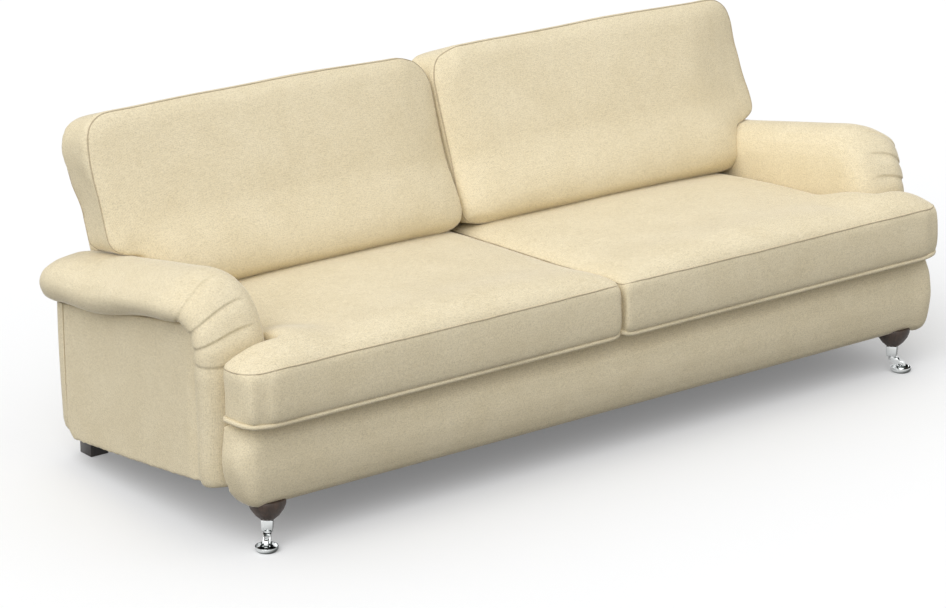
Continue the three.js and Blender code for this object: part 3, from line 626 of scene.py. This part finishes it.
# Back cushions
backCushion = {
    "lean": 19.6,
    "voxel": 0.009,
    "soften": 5,
    "cap": 0.012,
    "sideShare": 0.25,
    "rearShare": 0.1,
    "rearBelow": -0.5,       # share of a normal towards the front below which it is the rear
    "pipe": 0.0018,
    "pipeLift": 0.0002,
    "uneven": 0.0035,
    "unevenSize": 0.24,
    "seed": 7,
    "settle": 3,
    "rimShare": 0.72,
    "pathRounds": 6,
    "belly": 0.022,
    "bellyMiddle": 0.47,     # from the middle of the sofa
    "bellyHalf": 0.50,
    "bellyLow": 0.445,
    "bellyHeight": 0.415,
    "bellyFacing": (0.35, 0.85),
    "bellyPeak": 0.62,       # below 1, so that it is fullest low down
    "bellyRound": 0.8,
    "bellyFlat": 2.6,        # how evenly it stands out from side to side
    "eases": [
        ((0.48, 0.61, 0.51), (0.90, 0.16, 0.14), (0, -0.036, -0.006)), # low front pushed forward
        ((0.48, 0.56, 0.440), (0.90, 0.14, 0.056), (0, 0.036, 0)),     # turned under at the seat
        ((0.48, 0.66, 0.45), (0.75, 0.18, 0.08), (0, 0, -0.018)),      # pressed onto the seat
        ((0.48, 0.76, 0.87), (0.44, 0.12, 0.08), (0, 0, 0.008)),       # bowed top
        ((0.01, 0.75, 0.87), (0.09, 0.16, 0.09), (0.012, 0, -0.018)),  # corners at the split
        ((0.01, 0.60, 0.44), (0.07, 0.10, 0.07), (0.009, 0, 0.006)),
    ],
    "Left": [
        ((0.02, 0.70, 0.65), (0.15, 0.22, 0.26), (0, 0.012, 0)),       # rounder beside the split
        ((1.02, 0.86, 0.76), (0.14, 0.16, 0.16), (0.014, 0.004, 0.004)),
        ((1.02, 0.74, 0.80), (0.12, 0.10, 0.10), (0.008, 0, -0.006)),
        ((1.06, 0.78, 0.56), (0.18, 0.34, 0.22), (-0.026, 0, 0)),      # lower outer corner
        ((0.95, 0.62, 0.56), (0.07, 0.07, 0.06), (0, 0.008, 0)),       # pulled in by the corner
        ((0.78, 0.62, 0.54), (0.20, 0.10, 0.14), (0, -0.009, 0)),
    ],
    "Right": [
        ((0.98, 0.72, 0.64), (0.20, 0.22, 0.28), (0, 0.022, 0)),       # rounder outer side
        ((0.92, 0.64, 0.48), (0.08, 0.20, 0.09), (0.016, 0, 0)),
        ((0.84, 0.62, 0.50), (0.16, 0.10, 0.12), (0, -0.007, 0)),
    ],
}
backLean = math.radians(backCushion["lean"])
backFront = Vector((0, -math.cos(backLean), math.sin(backLean)))


def backWeight(normal):
    ahead = normal.dot(backFront)
    side = backCushion["sideShare"]
    return max(side, ahead) if ahead > backCushion["rearBelow"] else backCushion["rearShare"]


def bellyAt(place, normal):
    """how far the filled front stands out, most of it low down"""
    look = backCushion
    ahead = smoothStep(normal.dot(backFront), *look["bellyFacing"])
    across = (abs(place.x) - look["bellyMiddle"]) / look["bellyHalf"]
    height = min(1, max(0, (place.z - look["bellyLow"]) / look["bellyHeight"]))
    if abs(across) >= 1:
        return 0
    rise = math.sin(math.pi * height ** look["bellyPeak"]) ** look["bellyRound"]
    return look["belly"] * ahead * (1 - abs(across) ** look["bellyFlat"]) * rise


def makeBackCushion(side):
    look = backCushion
    label = side.lower()
    piece = copyOf(f"back_cushion_{label}", f"backCushion{side}")
    applyModifier(piece, "REMESH", mode="VOXEL", voxel_size=look["voxel"])
    smoothBy(piece, look["soften"])
    swell(piece, look["cap"], backWeight)
    smoothBy(piece, look["settle"])
    unevenBy(piece, look["uneven"], look["unevenSize"], sides[side] + look["seed"])
    shapeBy(piece, bellyAt)
    easeBy(piece, look["eases"] + look[side], sides[side])
    applyModifier(piece, "SUBSURF", levels=1, render_levels=1)
    body = f"back_{label}"
    for word, way in (("Front", backFront), ("Rear", -backFront)):
        path = evenPath(rimOf(f"back_cushion_{label}", way, look["rimShare"]))
        path = softenPath(path, look["pathRounds"])
        pipe = pipeAlong(path, f"back{word}Piping{side}", look["pipe"], look["pipeLift"], piece)
        finishPiece(pipe, body, seamCordPaintedShade)
    finishPiece(piece, body, creamCloth, replaced=[f"back_cushion_{label}"])


for side in sides:
    makeBackCushion(side)
print("back cushions made")


# Arms: the roll, its front and the folds sewn into it
arm = {
    "voxel": 0.006,
    "soften": 7,
    "noseY": 0.277,          # middle of the nose's round, from the front of the cushions
    "noseZ": 0.451,
    "foldDepth": 0.0042,
    "foldSharp": 0.0024,     # the side under the lap
    "foldSoft": 0.016,
    "foldFade": 0.03,
    "nearNose": 0.24,
    "noseCore": 0.05,
    "foldBend": 1.5,         # above 1, so that a fold turns near its outer end
    "foldReach": 1.3,
    "uneven": 0.0018,
    "unevenSize": 0.16,
    "seed": 11,
    "eases": [
        ((1.12, 0.82, 0.50), (0.12, 0.26, 0.14), (-0.006, 0, 0.020)),  # rear end of the roll
        ((1.11, 0.64, 0.46), (0.10, 0.22, 0.08), (0, 0, -0.008)),      # sagging behind
        ((1.11, 0.37, 0.49), (0.09, 0.17, 0.08), (0, 0, 0.007)),
        ((0.97, 0.12, 0.52), (0.18, 0.15, 0.18), (0.004, 0.013, -0.002)),  # front of the nose
        ((1.118, 0.165, 0.28), (0.05, 0.045, 0.22), (-0.006, 0, 0)),   # outer front of the column
        ((1.105, 0.175, 0.165), (0.05, 0.05, 0.05), (-0.004, 0.002, -0.006)),
    ],
    "Left": [],
    "Right": [
        ((1.13, 0.16, 0.46), (0.11, 0.10, 0.18), (-0.008, 0.024, 0)),  # rounder outer front of the nose
    ],
}
# each fold from its inner end to the crease: distance from the middle of the sofa, degrees forward of upright
armFolds = [
    {"inner": (1.010, 15), "outer": (1.120, 34), "deep": 0.8},
    {"inner": (0.985, 43), "outer": (1.130, 62), "deep": 1.0},
    {"inner": (0.985, 67), "outer": (1.135, 82), "deep": 1.0},
    {"inner": (0.990, 96), "outer": (1.130, 98), "deep": 0.8},
]


def foldAt(place):
    """how far the cover is drawn in at a place on an arm"""
    across = abs(place.x)
    back = place.y - frontLine - arm["noseY"]
    up = place.z - arm["noseZ"]
    reach = math.hypot(back, up)
    if reach > arm["nearNose"] or reach < arm["noseCore"]:
        return 0
    angle = math.degrees(math.atan2(-back, up))
    total = 0
    for fold in armFolds:
        (innerX, innerAngle), (outerX, outerAngle) = fold["inner"], fold["outer"]
        share = (across - innerX) / (outerX - innerX)
        bend = min(arm["foldReach"], max(0, share)) ** arm["foldBend"]
        line = innerAngle + (outerAngle - innerAngle) * bend
        off = math.radians(angle - line) * reach
        width = arm["foldSharp"] if off < 0 else arm["foldSoft"]
        fade = smoothStep(across, innerX - arm["foldFade"], innerX + arm["foldFade"])
        total += fold["deep"] * fade * math.exp(-(off / width) ** 2)
    return -arm["foldDepth"] * total


def makeArm(side):
    label = side.lower()
    piece = copyOf(f"arm_cover_{label}", f"armCover{side}")
    applyModifier(piece, "REMESH", mode="VOXEL", voxel_size=arm["voxel"])
    smoothBy(piece, arm["soften"])
    unevenBy(piece, arm["uneven"], arm["unevenSize"], sides[side] + arm["seed"])
    easeBy(piece, arm["eases"] + arm[side], sides[side])
    applyModifier(piece, "SUBSURF", levels=1, render_levels=1)
    shapeBy(piece, lambda place, normal: foldAt(place))
    finishPiece(piece, "sofa", creamCloth, replaced=[f"arm_cover_{label}"])


for side in sides:
    makeArm(side)
print("arms made")


# Covers that are pulled tight over the frame
panelEases = [
    ((1.094, 0.19, 0.30), (0.06, 0.05, 0.30), (-0.008, 0, 0)),         # sunk behind the column
    ((1.08, 0.50, 0.10), (0.08, 0.90, 0.09), (0, 0, -0.005)),
]
borderEases = [
    ((0, 0.02, 0.20), (1.5, 0.07, 0.09), (0, -0.008, 0)),
    ((0, 0.03, 0.302), (1.6, 0.07, 0.056), (0, 0.009, -0.012)),        # shadow line under the cushions
    ((-1.12, 0.06, 0.10), (0.095, 0.20, 0.13), (0.020, 0, 0.032)),
    ((-1.10, 0.06, 0.33), (0.10, 0.20, 0.11), (0.014, 0.006, -0.014)),
    ((1.075, 0.03, 0.20), (0.08, 0.08, 0.16), (0.010, -0.010, 0)),
    ((1.06, 0.04, 0.12), (0.07, 0.10, 0.05), (0.006, 0, -0.010)),
]
tightCovers = {
    "outside_arm_panel_left": ("outsidePanelLeft", 0.004, 4, panelEases, -1),
    "outside_arm_panel_right": ("outsidePanelRight", 0.004, 4, panelEases, 1),
    "front_border": ("frontBorder", 0.007, 4, borderEases, 1),
    "inside_back": ("insideBack", 0.009, 4, [], 1),
    "seat_deck": ("seatDeck", 0.009, 1, [], 1),
}
for node, (name, voxel, rounds, eases, side) in tightCovers.items():
    cover = copyOf(node, name)
    applyModifier(cover, "REMESH", mode="VOXEL", voxel_size=voxel)
    smoothBy(cover, rounds)
    easeBy(cover, eases, side)
    smoothBy(cover, 3 if eases else 0)
    finishPiece(cover, "sofa", creamCloth, replaced=[node])


cutMargin = 0.0001


def cutAcross(piece, axis, step):
    """cuts long faces so that shading stays near the bends"""
    shape = bmesh.new()
    shape.from_mesh(piece.data)
    places = [v.co[axis] for v in shape.verts]
    across = Vector((axis == 0, axis == 1, axis == 2))
    at = min(places) + step
    while at < max(places) - step / 4:
        everything = shape.verts[:] + shape.edges[:] + shape.faces[:]
        bmesh.ops.bisect_plane(shape, geom=everything, dist=cutMargin,
                               plane_co=across * at, plane_no=across)
        at += step
    shape.to_mesh(piece.data)
    shape.free()


backEases = [
    ((1.05, 0.90, 0.33), (0.10, 0.14, 0.36), (0.011, 0.002, 0)),
    ((0, 0.94, 0.715), (2.2, 0.07, 0.03), (0, 0, 0.006)),              # tucked under the top roll
]
outsideBack = copyOf("outside_back", "outsideBack")
backCuts = {"across": 0.045, "up": 0.03}
cutAcross(outsideBack, 0, backCuts["across"])
cutAcross(outsideBack, 2, backCuts["up"])
for side in sides.values():
    easeBy(outsideBack, backEases, side)
finishPiece(outsideBack, "sofa", creamCloth, angle=edgeAngle,
            replaced=["outside_back"])
clothThickness = 0.0015
for side in sides:
    wrap = copyOf(f"back_post_{side.lower()}", f"backPostWrap{side}")  # the cover goes round the post
    shapeBy(wrap, lambda place, normal: clothThickness)
    finishPiece(wrap, "sofa", creamCloth, angle=edgeAngle)
print("tight covers made")


# Lining and webbing
liningAngle = 30
lining = copyOf("dust_cover", "dustLining")
finishPiece(lining, "sofa", blackLining, angle=liningAngle, replaced=["dust_cover"])
for node in sorted(nodes):
    if "strap" in node:
        words = node.split("_")
        strap = copyOf(node, words[0] + "Strap" + words[2])
        finishPiece(strap, "sofa", juteWeb, angle=edgeAngle, replaced=[node])
print("lining and webbing made")


# Wood and metal
bevels = {"leg": 0.0008, "foot": 0.0015, "socket": 0.001, "castor": 0.0004}


def hardCopy(node, body, material, bevel, reshape=None):
    words = node.split("_")
    piece = copyOf(node, words[0] + "".join(w.capitalize() for w in words[1:]))
    if reshape:
        reshape(piece)
    applyModifier(piece, "BEVEL", width=bevel, segments=2, limit_method="ANGLE",
                  angle_limit=math.radians(edgeAngle), harden_normals=False)
    return finishPiece(piece, body, material, angle=edgeAngle, replaced=[node])


bun = {"rise": 0.014, "from": 0.0, "full": 0.034, "fading": 0.05, "gone": 0.08}


def raiseBun(piece):
    """the leg's widest ring lies against the border"""
    foot = min(v.co.z for v in piece.data.vertices)
    for vertex in piece.data.vertices:
        rise = vertex.co.z - foot
        fade = 1 - smoothStep(rise, bun["fading"], bun["gone"])
        vertex.co.z += bun["rise"] * smoothStep(rise, bun["from"], bun["full"]) * fade


socketFoot = {"widening": 0.2, "height": 0.03}


def squareSocket(piece):
    """less taper towards the foot of the socket"""
    low = min(v.co.z for v in piece.data.vertices)
    middle = sum((v.co.x for v in piece.data.vertices)) / len(piece.data.vertices)
    depth = sum((v.co.y for v in piece.data.vertices)) / len(piece.data.vertices)
    for vertex in piece.data.vertices:
        fade = smoothStep(vertex.co.z - low, 0.0, socketFoot["height"])
        share = 1 + socketFoot["widening"] * (1 - fade)
        vertex.co.x = middle + (vertex.co.x - middle) * share
        vertex.co.y = depth + (vertex.co.y - depth) * share


for side in sides:
    label = side.lower()
    hardCopy(f"front_leg_{label}", "sofa", legWalnut, bevels["leg"], raiseBun)
    hardCopy(f"rear_foot_{label}", "sofa", footWood, bevels["foot"])
    hardCopy(f"castor_socket_{label}", "sofa", polishedChrome, bevels["socket"], squareSocket)
    for word, body in (("fork", "castor"), ("axle", "castor"), ("cup", "castor"), ("wheel", "wheel")):
        hardCopy(f"castor_{word}_{label}", f"{body}_{label}", polishedChrome, bevels["castor"])
beechNodes = [n for n, o in nodes.items() if not o.hide_render]
for node in beechNodes:
    nodes[node].data.materials.clear()
    nodes[node].data.materials.append(beechWood)
print("wood and metal finished:", sorted(beechNodes))


# Floor and light
stageLook = {
    "floorSize": 60,
    "floorColour": (0.745, 0.75, 0.757),
    "bounced": (0.21, 0.21, 0.21),       # the floor's colour for light thrown back at the sofa
    "floorGlow": 0.17,
    "low": 0.60,                         # strength of the sky at the horizon and overhead
    "high": 0.86,
}


def stageMaterial():
    material = bpy.data.materials.new("paleFloor")
    material.use_nodes = True
    tree = material.node_tree
    tree.nodes.clear()
    out = tree.nodes.new("ShaderNodeOutputMaterial")
    path = addNode(tree, "ShaderNodeLightPath")
    seen = maths(tree, "MAXIMUM", path.outputs["Is Camera Ray"], path.outputs["Is Glossy Ray"])
    tone = mixColour(tree, seen, stageLook["bounced"], stageLook["floorColour"])
    diffuse = addNode(tree, "ShaderNodeBsdfDiffuse", Color=tone)
    glow = addNode(tree, "ShaderNodeEmission", Strength=maths(tree, "MULTIPLY", seen, stageLook["floorGlow"]))
    total = addNode(tree, "ShaderNodeAddShader", i0=diffuse.outputs[0], i1=glow.outputs[0])
    tree.links.new(total.outputs[0], out.inputs[0])
    return material


bpy.ops.object.select_all(action="DESELECT")
bpy.ops.mesh.primitive_plane_add(size=stageLook["floorSize"], location=(0, 0, 0))
floor = bpy.context.object
floor.name = "floor"
floor.data.materials.append(stageMaterial())

world = bpy.data.worlds.new("paleWorld")
bpy.context.scene.world = world
world.use_nodes = True
worldTree = world.node_tree
worldBack = worldTree.nodes["Background"]
rays = addNode(worldTree, "ShaderNodeLightPath")
mirrored = maths(worldTree, "MAXIMUM", rays.outputs["Is Glossy Ray"], rays.outputs["Is Transmission Ray"])
seenRays = maths(worldTree, "MAXIMUM", rays.outputs["Is Camera Ray"], mirrored)
skyWay = addNode(worldTree, "ShaderNodeTexCoord")
skyAxes = addNode(worldTree, "ShaderNodeSeparateXYZ", i0=skyWay.outputs["Generated"])
skyLight = addNode(worldTree, "ShaderNodeMapRange", i0=skyAxes.outputs[2],
                   i3=stageLook["low"], i4=stageLook["high"])
lightShare = addNode(worldTree, "ShaderNodeMapRange", i0=seenRays, i3=skyLight.outputs[0], i4=1.0)
worldTree.links.new(lightShare.outputs[0], worldBack.inputs["Strength"])
worldBack.inputs["Color"].default_value = (1, 1, 1, 1)

lamp = {"from": Vector((-0.66, -0.34, 0.68)), "height": 4, "strength": 1.7, "spread": 60}
bpy.ops.object.light_add(type="SUN", location=(0, 0, lamp["height"]))
light = bpy.context.object
light.name = "softSun"
light.data.energy = lamp["strength"]
light.data.angle = math.radians(lamp["spread"])
light.rotation_mode = "QUATERNION"
light.rotation_quaternion = (-lamp["from"]).to_track_quat("-Z", "Y")
bpy.context.scene.view_settings.view_transform = "Standard"
print("floor and light set")

bpy.context.view_layer.update()
